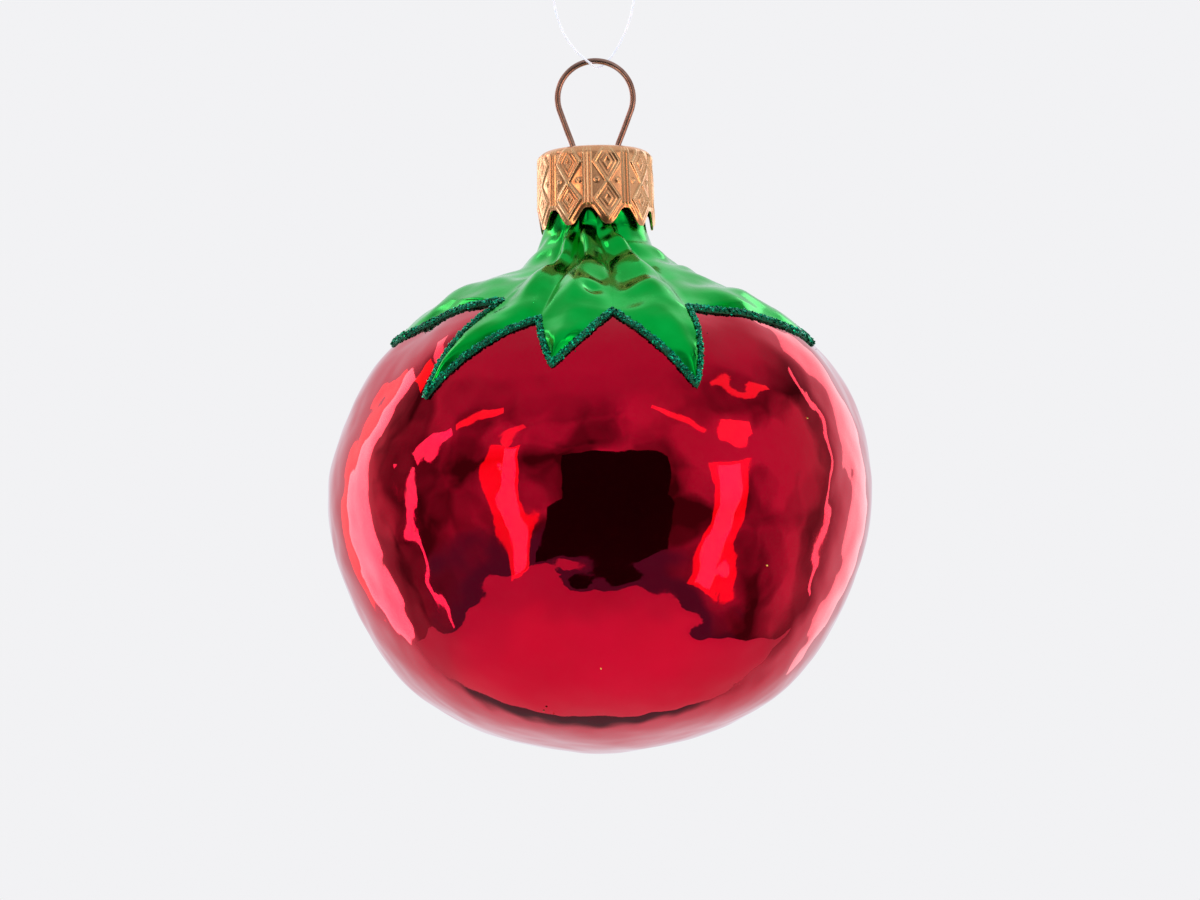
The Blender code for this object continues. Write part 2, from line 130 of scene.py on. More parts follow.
# Hanger: one wire, a round loop above the cap and two sprung legs in the neck.
WIRE = 0.8
LOOP_RADIUS, LOOP_END, LOOP_STEPS = 5.0, -22.0, 48
LEG = [  # (x, height) of one leg's centreline, from the flank to the tip
    (3.75, -8.9), (2.95, -11.1), (2.85, -12.4), (3.25, -14.2), (4.1, -17.2),
    (4.6, -21.0), (4.65, -26.0), (4.4, -31.0), (3.9, -35.0),
]
LEG_STEPS = 10

# Thread: its route under the hanger's loop, from one side of the knot to the other.
THREAD, THREAD_LENGTH, THREAD_POINTS = 0.3, 58.6, 140
KNOT = (0.0, 0.0, 27.0)
KNOT_SCALE = 0.23
THREAD_ROUTE = [
    (-0.75, -0.05, 25.75), (-1.75, -0.15, 23.8), (-3.2, -0.25, 20.8), (-4.6, -0.35, 17.2),
    (-5.45, -0.4, 13.4), (-5.65, -0.45, 10.2), (-5.3, -0.5, 7.2), (-4.4, -0.62, 4.45),
    (-3.55, -0.75, 2.9), (-2.65, -0.87, 1.7), (-1.75, -0.93, 0.8), (-0.98, -0.86, 0.18),
    (-0.4, -0.57, -0.27), (0.15, 0.0, -0.48), (0.7, 0.57, -0.27), (1.28, 0.86, 0.18),
    (1.95, 0.93, 0.9), (2.7, 0.87, 1.95), (3.45, 0.75, 3.3), (4.15, 0.62, 4.9),
    (4.85, 0.5, 7.2), (5.25, 0.45, 10.2), (5.1, 0.4, 13.4), (4.3, 0.35, 17.2),
    (3.0, 0.25, 20.8), (1.65, 0.15, 23.8), (0.75, 0.05, 25.75),
]

# Camera, in millimetres from the hang point.
CAMERA, CAMERA_AIM, CAMERA_LENS = (0.62, -550.0, -100.0), (0.62, 0.0, -51.4), 125.9

# Studio, seen from the middle of the bulb, in metres.
FLOOR_DROP = 0.9  # of the floor below the bulb
FLOOR = [  # (x, y) round the pale floor
    (-1.15, -0.8), (-0.6, -1.08), (0.43, -1.0), (0.7, -0.34),
    (1.5, 0.7), (0.5, 0.47), (-0.3, 0.47), (-1.6, 1.05),
]
FLAG_PLACE = 0.58  # of the flag in front of the bulb
FLAG = [  # (azimuth, slope) round the dark shape behind the camera
    (-26.0, -0.80), (32.0, -0.80), (32.0, -0.30), (26.0, -0.14),
    (26.0, 0.20), (-14.0, 0.20), (-15.0, -0.10), (-26.0, -0.16),
]


# ---------------------------------------------------------------- small helpers
def smooth_step(value, start, end):
    t = np.clip((np.asarray(value, float) - start) / (end - start), 0.0, 1.0)
    return t * t * (3.0 - 2.0 * t)


def smooth_line(points, steps, mirrored_end=False):
    """Points on a Catmull-Rom curve through points, steps to a span. With mirrored_end the curve
    meets the axis x = 0 at its last point without a kink."""
    line = np.array(points, float)
    before = 2 * line[0] - line[1]
    after = 2 * line[-1] - line[-2]
    if mirrored_end:
        after = line[-2] * np.array([-1.0, 1.0])
    line = np.vstack([before, line, after])
    found = []
    for a, b, c, d in zip(line[:-3], line[1:-2], line[2:-1], line[3:]):
        for t in np.arange(steps) / steps:
            bend = (2 * a - 5 * b + 4 * c - d) * t**2 + (3 * b - a - 3 * c + d) * t**3
            found.append(b + 0.5 * ((c - a) * t + bend))
    found.append(line[-2])
    return np.array(found)


def lengths_along(line):
    steps = np.linalg.norm(np.diff(line, axis=0), axis=1)
    return np.concatenate([[0.0], np.cumsum(steps)])


def evenly_spaced(line, count):
    along = lengths_along(line)
    wanted = np.linspace(0.0, along[-1], count)
    return np.stack([np.interp(wanted, along, line[:, k]) for k in range(line.shape[1])], 1)


def ripples(points, waves, seed):
    """A smooth random height field: sums of plane waves of each wavelength and height."""
    rng = np.random.default_rng(seed)
    total = np.zeros(len(points))
    for wavelength, height in waves:
        count = 26
        heading = rng.normal(size=(count, 3))
        heading /= np.linalg.norm(heading, axis=1)[:, None]
        pace = 2 * math.pi / wavelength * rng.uniform(0.75, 1.35, count)
        phase = rng.uniform(0.0, 2 * math.pi, count)
        swing = np.sin(points @ (heading * pace[:, None]).T + phase)
        total += height * math.sqrt(2.0 / count) * swing.sum(1)
    return total


def add_piece(name, points, faces, materials, body, slots_of_faces=None, sharp=None):
    """A closed mesh piece, smooth-shaded, riding on a body."""
    mesh = bpy.data.meshes.new(name)
    mesh.from_pydata((np.asarray(points) * MM).tolist(), [], faces)
    for each in materials:
        mesh.materials.append(each)
    if slots_of_faces is not None:
        mesh.polygons.foreach_set("material_index", np.asarray(slots_of_faces, np.int32))
    mesh.shade_smooth()
    if sharp is not None:
        mesh.set_sharp_from_angle(angle=math.radians(sharp))
    mesh.validate()
    piece = bpy.data.objects.new(name, mesh)
    bpy.context.scene.collection.objects.link(piece)
    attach(piece, body)
    return piece


def around(columns):
    """Azimuths of this many columns, evenly spaced."""
    return np.arange(columns) * 360.0 / columns


def stitch(first, second):
    """Faces between two closed rings of vertex numbers. The second ring has as many vertices as
    the first, half or twice as many, or one."""
    n, m = len(first), len(second)
    if m == n:
        return [(first[i], first[(i + 1) % n], second[(i + 1) % n], second[i]) for i in range(n)]
    if m == 1:
        return [(first[i], first[(i + 1) % n], second[0]) for i in range(n)]
    if n == 1:
        return [(first[0], second[(i + 1) % m], second[i]) for i in range(m)]
    faces = []
    if n == 2 * m:
        for i in range(m):
            a, b, c = first[2 * i], first[2 * i + 1], first[(2 * i + 2) % n]
            p, q = second[i], second[(i + 1) % m]
            faces += [(a, b, p), (b, q, p), (b, c, q)]
        return faces
    for i in range(n):
        p, q, r = second[2 * i], second[2 * i + 1], second[(2 * i + 2) % m]
        a, b = first[i], first[(i + 1) % n]
        faces += [(a, q, p), (a, b, q), (b, r, q)]
    return faces


def closed_plate(top, bottom, faces):
    """Points and faces of a plate with these two skins over the same faces."""
    count = len(top)
    uses = {}
    for face in faces:
        for a, b in zip(face, face[1:] + face[:1]):
            uses[(a, b)] = True
    made = list(faces)
    made += [tuple(p + count for p in reversed(face)) for face in faces]
    for a, b in uses:
        if (b, a) not in uses:
            made.append((b, a, a + count, b + count))
    return np.vstack([top, bottom]), made


# ---------------------------------------------------------------- the glass skin
def lean(height):
    """How far the bulb's axis lies from the neck's at this height."""
    shift = np.full(np.shape(height), LEAN[0][1])
    for (top, start), (bottom, end) in zip(LEAN, LEAN[1:]):
        shift += (end - start) * smooth_step(height, top, bottom)
    return shift


def shoulder_lift(azimuth, height):
    """How much higher than at the sides the skin lies at this azimuth."""
    levels = np.array(SHOULDER_LIFT)
    return np.cos(np.radians(azimuth)) ** 2 * np.interp(-height, -levels[:, 0], levels[:, 1])


class Skin:
    """The blown skin, addressed by azimuth and by s, the length down the profile from the rim."""

    def __init__(self):
        line = smooth_line(GLASS_OUTLINE, 24, mirrored_end=True)
        self.s = lengths_along(line)
        self.line = line
        slope = np.gradient(line, self.s, axis=0)
        slope /= np.linalg.norm(slope, axis=1)[:, None]
        self.normal = np.stack([-slope[:, 1], slope[:, 0]], axis=1)

    def s_at(self, height):
        return np.interp(-np.asarray(height, float), -self.line[:, 1], self.s)

    def height_at(self, s):
        return np.interp(s, self.s, self.line[:, 1])

    def radius_at(self, s):
        return np.interp(s, self.s, self.line[:, 0])

    def plain(self, azimuth, s, offset=0.0):
        """The turned surface, and its normals."""
        turn = np.radians(azimuth)
        radius, height = self.radius_at(s), self.height_at(s)
        out, up = (np.interp(s, self.s, self.normal[:, k]) for k in (0, 1))
        long = np.hypot(out, up)
        out, up = out / long, up / long
        r, z = np.maximum(radius + offset * out, 0.0), height + offset * up
        high = z + shoulder_lift(azimuth, z)
        spot = np.stack([r * np.sin(turn) + lean(z), -r * np.cos(turn), high], axis=-1)
        normal = np.stack([out * np.sin(turn), -out * np.cos(turn), up], axis=-1)
        return spot, normal

    def point(self, azimuth, s, offset=0.0):
        """The wavy surface, moved outwards by offset."""
        azimuth, s = np.broadcast_arrays(np.asarray(azimuth, float), np.asarray(s, float))
        spot, normal = self.plain(azimuth, s)
        flat = spot.reshape(-1, 3)
        body = smooth_step(-self.height_at(s), 24.0, 36.0)
        rise = ripples(flat, SKIN_WAVES, seed=7).reshape(s.shape) * body
        for middle, depth, width in GROOVES:
            away = (azimuth - middle + 180.0) % 360.0 - 180.0
            share = smooth_step(-self.height_at(s), -GROOVE_FROM, -GROOVE_FROM + 8.0)
            share *= 1.0 - smooth_step(-self.height_at(s), -GROOVE_FROM + 10.0, -GROOVE_TO)
            rise -= depth * np.exp(-((away / width) ** 2)) * share
        return spot + normal * (rise + offset)[..., None]


SKIN = Skin()


# ---------------------------------------------------------------- materials
def new_material(name, sockets):
    """A material, its node tree and its shader, with these values on the shader's sockets."""
    made = bpy.data.materials.new(name)
    made.use_nodes = True
    tree = made.node_tree
    shader = tree.nodes["Principled BSDF"]
    for socket, value in sockets.items():
        shader.inputs[socket].default_value = value
    return made, tree, shader


def noise(tree, scale, detail=2.0):
    """A noise texture on object coordinates; scale is in waves to the metre."""
    place = tree.nodes.new("ShaderNodeTexCoord")
    found = tree.nodes.new("ShaderNodeTexNoise")
    found.inputs["Scale"].default_value = scale
    found.inputs["Detail"].default_value = detail
    tree.links.new(place.outputs["Object"], found.inputs["Vector"])
    return found.outputs["Fac"]


def ramp(tree, source, stops):
    """A colour ramp; stops are (position, colour) with RGB or a grey value."""
    found = tree.nodes.new("ShaderNodeValToRGB")
    band = found.color_ramp
    while len(band.elements) < len(stops):
        band.elements.new(0.5)
    for element, (position, colour) in zip(band.elements, stops):
        element.position = position
        grey = not hasattr(colour, "__len__")
        element.color = (colour, colour, colour, 1.0) if grey else (*colour, 1.0)
    tree.links.new(source, found.inputs["Fac"])
    return found.outputs["Color"]


def vary(tree, shader, socket, source, low, high):
    """Drives a socket from a colour ramp between two stops of the source."""
    tree.links.new(ramp(tree, source, [low, high]), shader.inputs[socket])


def bump(tree, shader, height, strength, distance):
    found = tree.nodes.new("ShaderNodeBump")
    found.inputs["Strength"].default_value = strength
    found.inputs["Distance"].default_value = distance
    tree.links.new(height, found.inputs["Height"])
    tree.links.new(found.outputs["Normal"], shader.inputs["Normal"])


def red_glass():
    """Red lacquer over silvered glass, a little uneven in its depth of colour."""
    coat = {"Coat Weight": 0.22, "Coat Roughness": 0.02, "Coat IOR": 1.35}
    made, tree, shader = new_material("red_lacquer_on_mirror", {"Metallic": 1.0, **coat})
    depth = noise(tree, 70.0, detail=4.0)
    vary(tree, shader, "Base Color", depth, (0.3, (0.56, 0.0, 0.022)), (0.7, (0.66, 0.0, 0.029)))
    vary(tree, shader, "Roughness", noise(tree, 240.0, detail=3.0), (0.35, 0.02), (0.75, 0.07))
    bump(tree, shader, noise(tree, 900.0, detail=1.0), 0.10, 0.00005)
    return made


def silvering():
    """The bare silvered glass of the neck and the inside."""
    made, tree, shader = new_material("silvering", {"Metallic": 1.0})
    shade = noise(tree, 300.0, detail=4.0)
    vary(tree, shader, "Base Color", shade, (0.3, (0.62, 0.62, 0.63)), (0.7, (0.86, 0.86, 0.87)))
    vary(tree, shader, "Roughness", shade, (0.3, 0.22), (0.7, 0.08))
    return made


def green_lacquer():
    """Green lacquer over the silvered relief of the neck and the leaves."""
    made, tree, shader = new_material("green_lacquer_on_mirror", {"Metallic": 1.0})
    depth = noise(tree, 160.0, detail=3.0)
    vary(tree, shader, "Base Color", depth, (0.3, (0.0, 0.42, 0.036)), (0.7, (0.002, 0.62, 0.080)))
    vary(tree, shader, "Roughness", noise(tree, 420.0, detail=3.0), (0.3, 0.11), (0.75, 0.21))
    bump(tree, shader, noise(tree, 1100.0), 0.18, 0.00006)
    return made


def glitter_paste():
    """The dark glue and powder between the flakes."""
    made, tree, shader = new_material("glitter_paste", {"Metallic": 0.35})
    grain = noise(tree, 5200.0)
    vary(tree, shader, "Base Color", grain, (0.35, (0.0, 0.06, 0.035)), (0.65, (0.0, 0.28, 0.15)))
    vary(tree, shader, "Roughness", grain, (0.3, 0.35), (0.7, 0.7))
    bump(tree, shader, grain, 0.8, 0.0001)
    return made


def glitter_foil(name, dark, light):
    made, tree, shader = new_material(name, {"Metallic": 0.9})
    tone = noise(tree, 3100.0, detail=0.0)
    vary(tree, shader, "Base Color", tone, (0.4, dark), (0.62, light))
    vary(tree, shader, "Roughness", tone, (0.4, 0.30), (0.6, 0.14))
    return made


def gold_stamping():
    """Gilt metal with painted shade and a painted highlight: darker in the hollows, where the
    attribute relief is low, and lighter on the raised lines.
    """
    made, tree, shader = new_material("gold_stamping", {"Metallic": 0.88})
    relief = tree.nodes.new("ShaderNodeAttribute")
    relief.attribute_name = "relief"
    # Painted shade where the stamping lies low, and a painted highlight on its raised lines.
    shaded_recess, flank, highlit_crest = (0.36, 0.15, 0.07), (0.92, 0.47, 0.24), (1.0, 0.70, 0.40)
    relief_shade_and_highlight = ramp(tree, relief.outputs["Fac"], [(0.0, shaded_recess), (0.3, flank), (1.0, highlit_crest)])
    mottle = tree.nodes.new("ShaderNodeMix")
    mottle.data_type = "RGBA"
    mottle.blend_type = "MULTIPLY"
    mottle.inputs["Factor"].default_value = 0.45
    tree.links.new(relief_shade_and_highlight, mottle.inputs["A"])
    cloud = noise(tree, 380.0)
    tint = ramp(tree, cloud, [(0.3, (0.80, 0.72, 0.68)), (0.7, (1.0, 0.98, 0.92))])
    tree.links.new(tint, mottle.inputs["B"])
    tree.links.new(mottle.outputs["Result"], shader.inputs["Base Color"])
    vary(tree, shader, "Roughness", cloud, (0.3, 0.30), (0.7, 0.17))
    bump(tree, shader, noise(tree, 1500.0), 0.12, 0.00005)
    return made


def bronzed_wire():
    made, tree, shader = new_material("bronzed_wire", {"Metallic": 1.0})
    streak = noise(tree, 500.0, detail=3.0)
    vary(tree, shader, "Base Color", streak, (0.3, (0.30, 0.17, 0.135)), (0.7, (0.50, 0.32, 0.265)))
    vary(tree, shader, "Roughness", streak, (0.3, 0.30), (0.7, 0.18))
    bump(tree, shader, noise(tree, 700.0), 0.03, 0.00003)
    return made


def nylon():
    """Clear monofilament with a painted glow: a little emission stands in for the light that it
    scatters.
    """
    # Painted glow: emission makes the thread brighter than its lighting would.
    glow = {"Emission Color": (0.80, 0.88, 1.0, 1.0), "Emission Strength": 0.3}
    clear = {"Transmission Weight": 0.2, "IOR": 1.4}
    made, tree, shader = new_material("clear_nylon", {**clear, **glow})
    shade = noise(tree, 500.0)
    vary(tree, shader, "Base Color", shade, (0.3, (0.82, 0.88, 0.97)), (0.7, (0.94, 0.96, 1.0)))
    vary(tree, shader, "Roughness", shade, (0.3, 0.15), (0.7, 0.3))
    return made


# ---------------------------------------------------------------- glass bulb
def glass_rows():
    """(s, columns) of the outer rings, from the rim to the pole."""
    rows, s, length = [], 0.0, SKIN.s[-1]
    while s < length - 0.25:
        radius = float(SKIN.radius_at(s))
        columns = GLASS_COLUMNS
        while columns > 12 and 2 * math.pi * radius / columns < 0.55 * ROW_SPACING:
            columns //= 2
        rows.append((s, columns))
        s += ROW_SPACING * (1.0 if s > SKIN.s_at(-24.0) else 1.6)
    return rows + [(length, 1)]


def make_glass():
    """Outer skin, rounded rim and inner skin as one closed body."""
    points, faces, which = [], [], []

    def ring_of(spots):
        points.extend(spots)
        return list(range(len(points) - len(spots), len(points)))

    def join(upper, lower, outward, finish):
        made = stitch(upper, lower)
        faces.extend([face[::-1] for face in made] if outward else made)
        which.extend([finish] * len(made))

    lacquer_from = float(SKIN.s_at(CALYX_TOP - 0.8))
    rings = []
    for s, columns in glass_rows():
        rings.append(ring_of(SKIN.point(around(columns), np.full(columns, s))))
        if len(rings) > 1:
            join(rings[-2], rings[-1], True, 0 if s > lacquer_from else 1)
    last, columns = rings[0], len(rings[0])
    for turn in (60.0, 120.0):
        lift = 0.25 * GLASS_WALL * math.sin(math.radians(turn))
        inset = 0.5 * GLASS_WALL * (1.0 - math.cos(math.radians(turn)))
        spots, _ = SKIN.plain(around(columns), np.zeros(columns), -inset)
        spots[:, 2] += lift
        ring = ring_of(spots)
        join(last, ring, False, 1)
        last = ring
    for s in np.linspace(0.0, SKIN.s[-1], 70):
        columns = 1 if s == SKIN.s[-1] else max(INNER_COLUMNS, columns // 2)
        ring = ring_of(SKIN.point(around(columns), np.full(columns, s), -GLASS_WALL))
        join(last, ring, False, 1)
        last = ring
    finishes = [red_glass(), silvering()]
    piece = add_piece(
        "tomato_glass", points, faces, finishes, "glass", which
    )
    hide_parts("glass_bulb")


# ---------------------------------------------------------------- calyx
def edge_curve(start, middle, end, count):
    """count + 1 points (azimuth, height) on a leaf's edge through its middle point."""
    start, middle, end = (np.array(p, float) for p in (start, middle, end))
    pull = 2 * middle - 0.5 * (start + end)
    t = np.linspace(0.0, 1.0, count + 1)[:, None]
    return (1 - t) ** 2 * start + 2 * t * (1 - t) * pull + t**2 * end


def leaf_sides():
    """For each leaf its two sides from the neck to the tip, as (azimuth, s) points. Both sides
    have the same number of points, and neighbouring leaves share theirs down to the notch."""
    found = []
    for leaf, following in zip(LEAVES, LEAVES[1:] + LEAVES[:1]):
        notch, first, tip, second = leaf
        last = following[0]
        if last[0] < notch[0]:
            last = (last[0] + 360.0, last[1])
        sides = []
        for root, middle in ((notch, first), (last, second)):
            top, bottom = float(SKIN.s_at(CALYX_TOP)), float(SKIN.s_at(root[1]))
            down = np.linspace(top, bottom, LEAF_NECK_ROWS + 1)
            neck = np.stack([np.full(len(down), root[0]), down], axis=1)
            edge = edge_curve(root, middle, tip, LEAF_EDGE_ROWS)
            edge = np.stack([edge[:, 0], SKIN.s_at(edge[:, 1])], axis=1)
            sides.append(np.vstack([neck[:-1], edge]))
        found.append(sides)
    return found


def ridge_profile(across):
    """Height across a leaf from 0 at its edges to 1 at its midrib, creased softly."""
    soft = 0.22
    away = np.sqrt(across**2 + soft**2) - soft
    return 1.0 - away / (math.sqrt(1.0 + soft**2) - soft)


def leaf_grid(left, right, number):
    """(azimuth, s, height over the glass) of one leaf's top, as rows by columns."""
    v = np.linspace(0.0, 1.0, LEAF_COLUMNS + 1)
    grid = left[:, None] * (1 - v)[None, :, None] + right[:, None] * v[None, :, None]
    rows = len(left)
    u = np.linspace(0.0, 1.0, rows)[:, None]
    across = 2.0 * v[None, :] - 1.0
    shift = 0.22 * math.sin(2.4 * number + 0.7)  # the midrib isn't quite in the middle
    across = np.clip(across - shift * (1.0 - across**2), -1.0, 1.0)
    azimuth, s = grid[..., 0], grid[..., 1]
    levels = np.array(RIDGE)
    ridge = np.interp(-SKIN.height_at(s), -levels[:, 0], levels[:, 1])
    ridge = ridge * (1.0 - 0.45 * smooth_step(u, 0.8, 1.0))
    ridge *= 1.0 - 0.5 * np.sin(np.radians(azimuth)) ** 2  # the side leaves are flatter
    return azimuth, s, LEAF_BASE + ridge * ridge_profile(across)


def calyx_height(azimuth, s, height):
    """Adds the hand-painted, blown unevenness and the dimple to the plain relief."""
    spot, _ = SKIN.plain(azimuth, s)
    wobble = ripples(spot.reshape(-1, 3), LEAF_WAVES, seed=21).reshape(s.shape)
    height = height + wobble * smooth_step(height, 0.2, 0.7)
    middle, _ = SKIN.plain(np.array([DIMPLE[0]]), np.array([SKIN.s_at(DIMPLE[1])]))
    away = np.linalg.norm(spot - middle[0], axis=-1) / DIMPLE[2]
    return np.maximum(height - DIMPLE[3] * np.exp(-(away**2)), 0.12)


def make_calyx():
    """The green coat as one closed shell: a relief on top and the glass's own shape below."""
    spots, heights, faces, known = [], [], [], {}
    for number, (left, right) in enumerate(leaf_sides()):
        azimuth, s, height = leaf_grid(left, right, number)
        index = np.zeros(s.shape, int)
        for i in range(s.shape[0]):
            for j in range(s.shape[1]):
                key = (round(azimuth[i, j] % 360.0, 4), round(s[i, j], 5))
                if key not in known:
                    known[key] = len(spots)
                    spots.append((azimuth[i, j], s[i, j]))
                    heights.append(height[i, j])
                index[i, j] = known[key]
        for i in range(s.shape[0] - 1):
            for j in range(s.shape[1] - 1):
                ring = [index[i, j], index[i + 1, j], index[i + 1, j + 1], index[i, j + 1]]
                face = [p for k, p in enumerate(ring) if p != ring[k - 1]]
                if len(face) > 2:
                    faces.append(tuple(int(p) for p in face))
    spots, heights = np.array(spots), np.array(heights)
    heights = calyx_height(spots[:, 0], spots[:, 1], heights)
    top = SKIN.point(spots[:, 0], spots[:, 1], heights)
    bottom = SKIN.point(spots[:, 0], spots[:, 1], 0.02)
    points, faces = closed_plate(top, bottom, faces)
    piece = add_piece(
        "calyx_leaves", points, faces, [green_lacquer()], "glass", sharp=70.0
    )
    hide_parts("calyx_lacquer")


# ---------------------------------------------------------------- glitter
def calyx_loop():
    """The zigzag round the leaves on the chart, whose directions are azimuths and whose
    distances from the centre are s."""
    found = []
    for left, right in leaf_sides():
        found += list(left[LEAF_NECK_ROWS:-1]) + list(right[:LEAF_NECK_ROWS:-1])
    loop = to_chart(np.array(found)[:, 0], np.array(found)[:, 1])
    closed = np.vstack([loop, loop[:1]])
    count = int(lengths_along(closed)[-1] / BEAD_STEP)
    return evenly_spaced(closed, count + 1)[:-1]


def to_chart(azimuth, s):
    turn = np.radians(azimuth)
    return np.stack([s * np.sin(turn), -s * np.cos(turn)], axis=-1)


def from_chart(points):
    points = np.asarray(points, float)
    return np.degrees(np.arctan2(points[..., 0], -points[..., 1])), np.hypot(
        points[..., 0], points[..., 1]
    )


def distances(points, loop):
    """How far each point is from the loop."""
    ends = np.roll(loop, -1, axis=0)
    sides = ends - loop
    long = (sides * sides).sum(1)
    found = np.empty(len(points))
    for start in range(0, len(points), 400):
        some = points[start : start + 400, None] - loop
        t = np.clip((some * sides).sum(2) / long, 0.0, 1.0)
        away = np.linalg.norm(some - t[..., None] * sides, axis=2)
        found[start : start + 400] = away.min(1)
    return found


def normals_of(loop):
    along = np.roll(loop, -1, axis=0) - np.roll(loop, 1, axis=0)
    along /= np.linalg.norm(along, axis=1)[:, None]
    return np.stack([along[:, 1], -along[:, 0]], axis=1)


def beside(loop, distance, closest):
    """Points at this distance beside the loop, without those that a corner folds over."""
    sides = np.roll(loop, -1, axis=0) - loop
    sides /= np.linalg.norm(sides, axis=1)[:, None]
    square = np.stack([sides[:, 1], -sides[:, 0]], axis=1)
    woven = np.empty((3 * len(loop), 2))
    woven[0::3] = loop + distance * np.roll(square, 1, axis=0)
    woven[1::3] = loop + distance * normals_of(loop)
    woven[2::3] = loop + distance * square
    kept = woven[distances(woven, loop) > 0.985 * abs(distance)]
    found = [kept[0]]
    for spot in kept[1:]:
        if np.linalg.norm(spot - found[-1]) > closest:
            found.append(spot)
    while np.linalg.norm(found[-1] - found[0]) < closest:
        found.pop()
    return np.array(found)


def bead_height(points, loop):
    away = distances(points, loop) / (BEAD_WIDTH / 2)
    crown = np.sqrt(np.clip(1.0 - np.minimum(away, 1.0) ** 2, 0.0, 1.0))
    azimuth, s = from_chart(points)
    spot, _ = SKIN.plain(azimuth, s)
    grain = ripples(spot, [(0.9, 0.045), (0.45, 0.03)], seed=5)
    return LEAF_BASE * crown + 0.05 + BEAD_HEIGHT * crown + grain * crown


def make_bead(loop):
    """The line of glue and powder that holds the flakes."""
    outer = beside(loop, BEAD_WIDTH / 2, 0.14)
    inner = beside(loop, -BEAD_WIDTH / 2, 0.14)
    spots = [loop]
    for share in (0.45, 0.8):
        for side in (-1, 1):
            spots.append(beside(loop, side * share * BEAD_WIDTH / 2, 0.16))
    spots = np.vstack(spots)
    points = np.vstack([outer, inner, spots])
    count, hole = len(outer), len(inner)
    edges = [(i, (i + 1) % count) for i in range(count)]
    edges += [(count + i, count + (i + 1) % hole) for i in range(hole)]
    flat = [Vector(p) for p in points]
    verts, _, found, *_ = delaunay_2d_cdt(flat, edges, [], 0, 1e-6)
    verts = np.array([tuple(p) for p in verts])
    faces = [tuple(f) for f in found]
    middles = np.array([verts[list(f)].mean(0) for f in faces])
    near = distances(middles, loop) < BEAD_WIDTH / 2 * 0.998
    faces = [f for f, keep in zip(faces, near) if keep]
    azimuth, s = from_chart(verts)
    top = SKIN.point(azimuth, s, bead_height(verts, loop))
    bottom = SKIN.point(azimuth, s, 0.0)
    points, faces = closed_plate(top, bottom, faces)
    used = sorted({p for face in faces for p in face})
    renumber = {p: i for i, p in enumerate(used)}
    faces = [tuple(renumber[p] for p in face) for face in faces]
    piece = add_piece(
        "glitter_bead", points[used], faces, [glitter_paste()], "glass"
    )
    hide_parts("glitter_trim")


def flake_mesh(spots, normals, rng, size):
    """Closed six-sided flakes, one at each spot, tilted at random about the surface normal."""
    count = len(spots)
    tilt = rng.normal(scale=FLAKE_TILT, size=(count, 3))
    up = normals + tilt
    up /= np.linalg.norm(up, axis=1)[:, None]
    side = np.cross(up, rng.normal(size=(count, 3)))
    side /= np.linalg.norm(side, axis=1)[:, None]
    other = np.cross(up, side)
    sizes = size * rng.uniform(0.6, 1.25, count)[:, None]
    corners = []
    for k in range(6):
        turn = math.tau * k / 6
        corners.append(spots + sizes * (math.cos(turn) * side + math.sin(turn) * other))
    thick = FLAKE_THICKNESS * sizes * up
    corners += [spots + thick, spots - thick]
    points = np.stack(corners, axis=1).reshape(-1, 3)
    faces = []
    for i in range(count):
        base = 8 * i
        for k in range(6):
            a, b = base + k, base + (k + 1) % 6
            faces += [(a, b, base + 6), (b, a, base + 7)]
    return points, faces


def lay_flakes(name, azimuth, s, lift, size, foil, rng):
    """A piece of loose flakes at these places, this far above the glass."""
    _, normals = SKIN.plain(azimuth, s)
    points, faces = flake_mesh(SKIN.point(azimuth, s, lift), normals, rng, size)
    add_piece(name, points, faces, [foil], "glass", sharp=5.0)


def make_flakes(loop):
    """The glitter itself, and the few strays round the line and down the body."""
    rng = np.random.default_rng(11)
    pick = rng.integers(0, len(loop), FLAKES)
    off = rng.uniform(-1.0, 1.0, FLAKES)
    off = np.sign(off) * np.abs(off) ** 0.8 * BEAD_WIDTH / 2 * rng.uniform(0.85, 1.12, FLAKES)
    along = rng.uniform(-0.5, 0.5, (FLAKES, 1)) * (np.roll(loop, -1, axis=0) - loop)[pick]
    chart = loop[pick] + along + off[:, None] * normals_of(loop)[pick]
    lift = bead_height(chart, loop) + 0.02
    green = glitter_foil("green_foil", (0.0, 0.15, 0.09), (0.01, 0.66, 0.36))
    lay_flakes("glitter_flakes", *from_chart(chart), lift, FLAKE_SIZE, green, rng)

    chart = loop[rng.integers(0, len(loop), STRAY_FLAKES)]
    chart = chart + rng.normal(scale=STRAY_REACH, size=chart.shape)
    lay_flakes("stray_flakes", *from_chart(chart), 0.03, STRAY_SIZE, green, rng)

    azimuth, height = np.array(GOLD_SPECKS).T
    gold = glitter_foil("gold_foil", (0.50, 0.26, 0.05), (0.90, 0.62, 0.16))
    lay_flakes("gold_specks", azimuth, SKIN.s_at(height), 0.03, SPECK_SIZE, gold, rng)


# ---------------------------------------------------------------- cap
def scallop(azimuth):
    """Height of the skirt's edge: a rounded point in the middle of each panel."""
    turn = (azimuth - PANEL_TURN) * PANELS / 360.0
    away = np.abs(turn - np.round(turn)) * 2.0
    drop = 1.0 - smooth_step(away, 0.10, 0.90)
    return CAP_VALLEY + (CAP_POINT - CAP_VALLEY) * drop


def raised(away, width):
    """A rounded raised line: 1 on the line, fading over its width."""
    return np.exp(-((away / width) ** 2))


def diamond_relief(across, height, middle, half):
    """Two nested outlines and a small diamond with a hollow middle."""
    reach = np.abs(across) / DIAMOND_WIDTH + np.abs(height - middle) / half
    away = (reach - 1.0) * DIAMOND_WIDTH * half / math.hypot(DIAMOND_WIDTH, half)
    outline = np.maximum(raised(away, 0.17), 0.55 * raised(away + 0.47, 0.11))
    centre = raised((reach - 0.30) * DIAMOND_WIDTH, 0.16)
    sunken = smooth_step(0.75 - reach, 0.0, 0.2) * (1.0 - smooth_step(0.16 - reach, 0.0, 0.1))
    return np.maximum(outline, centre) - 0.35 * sunken


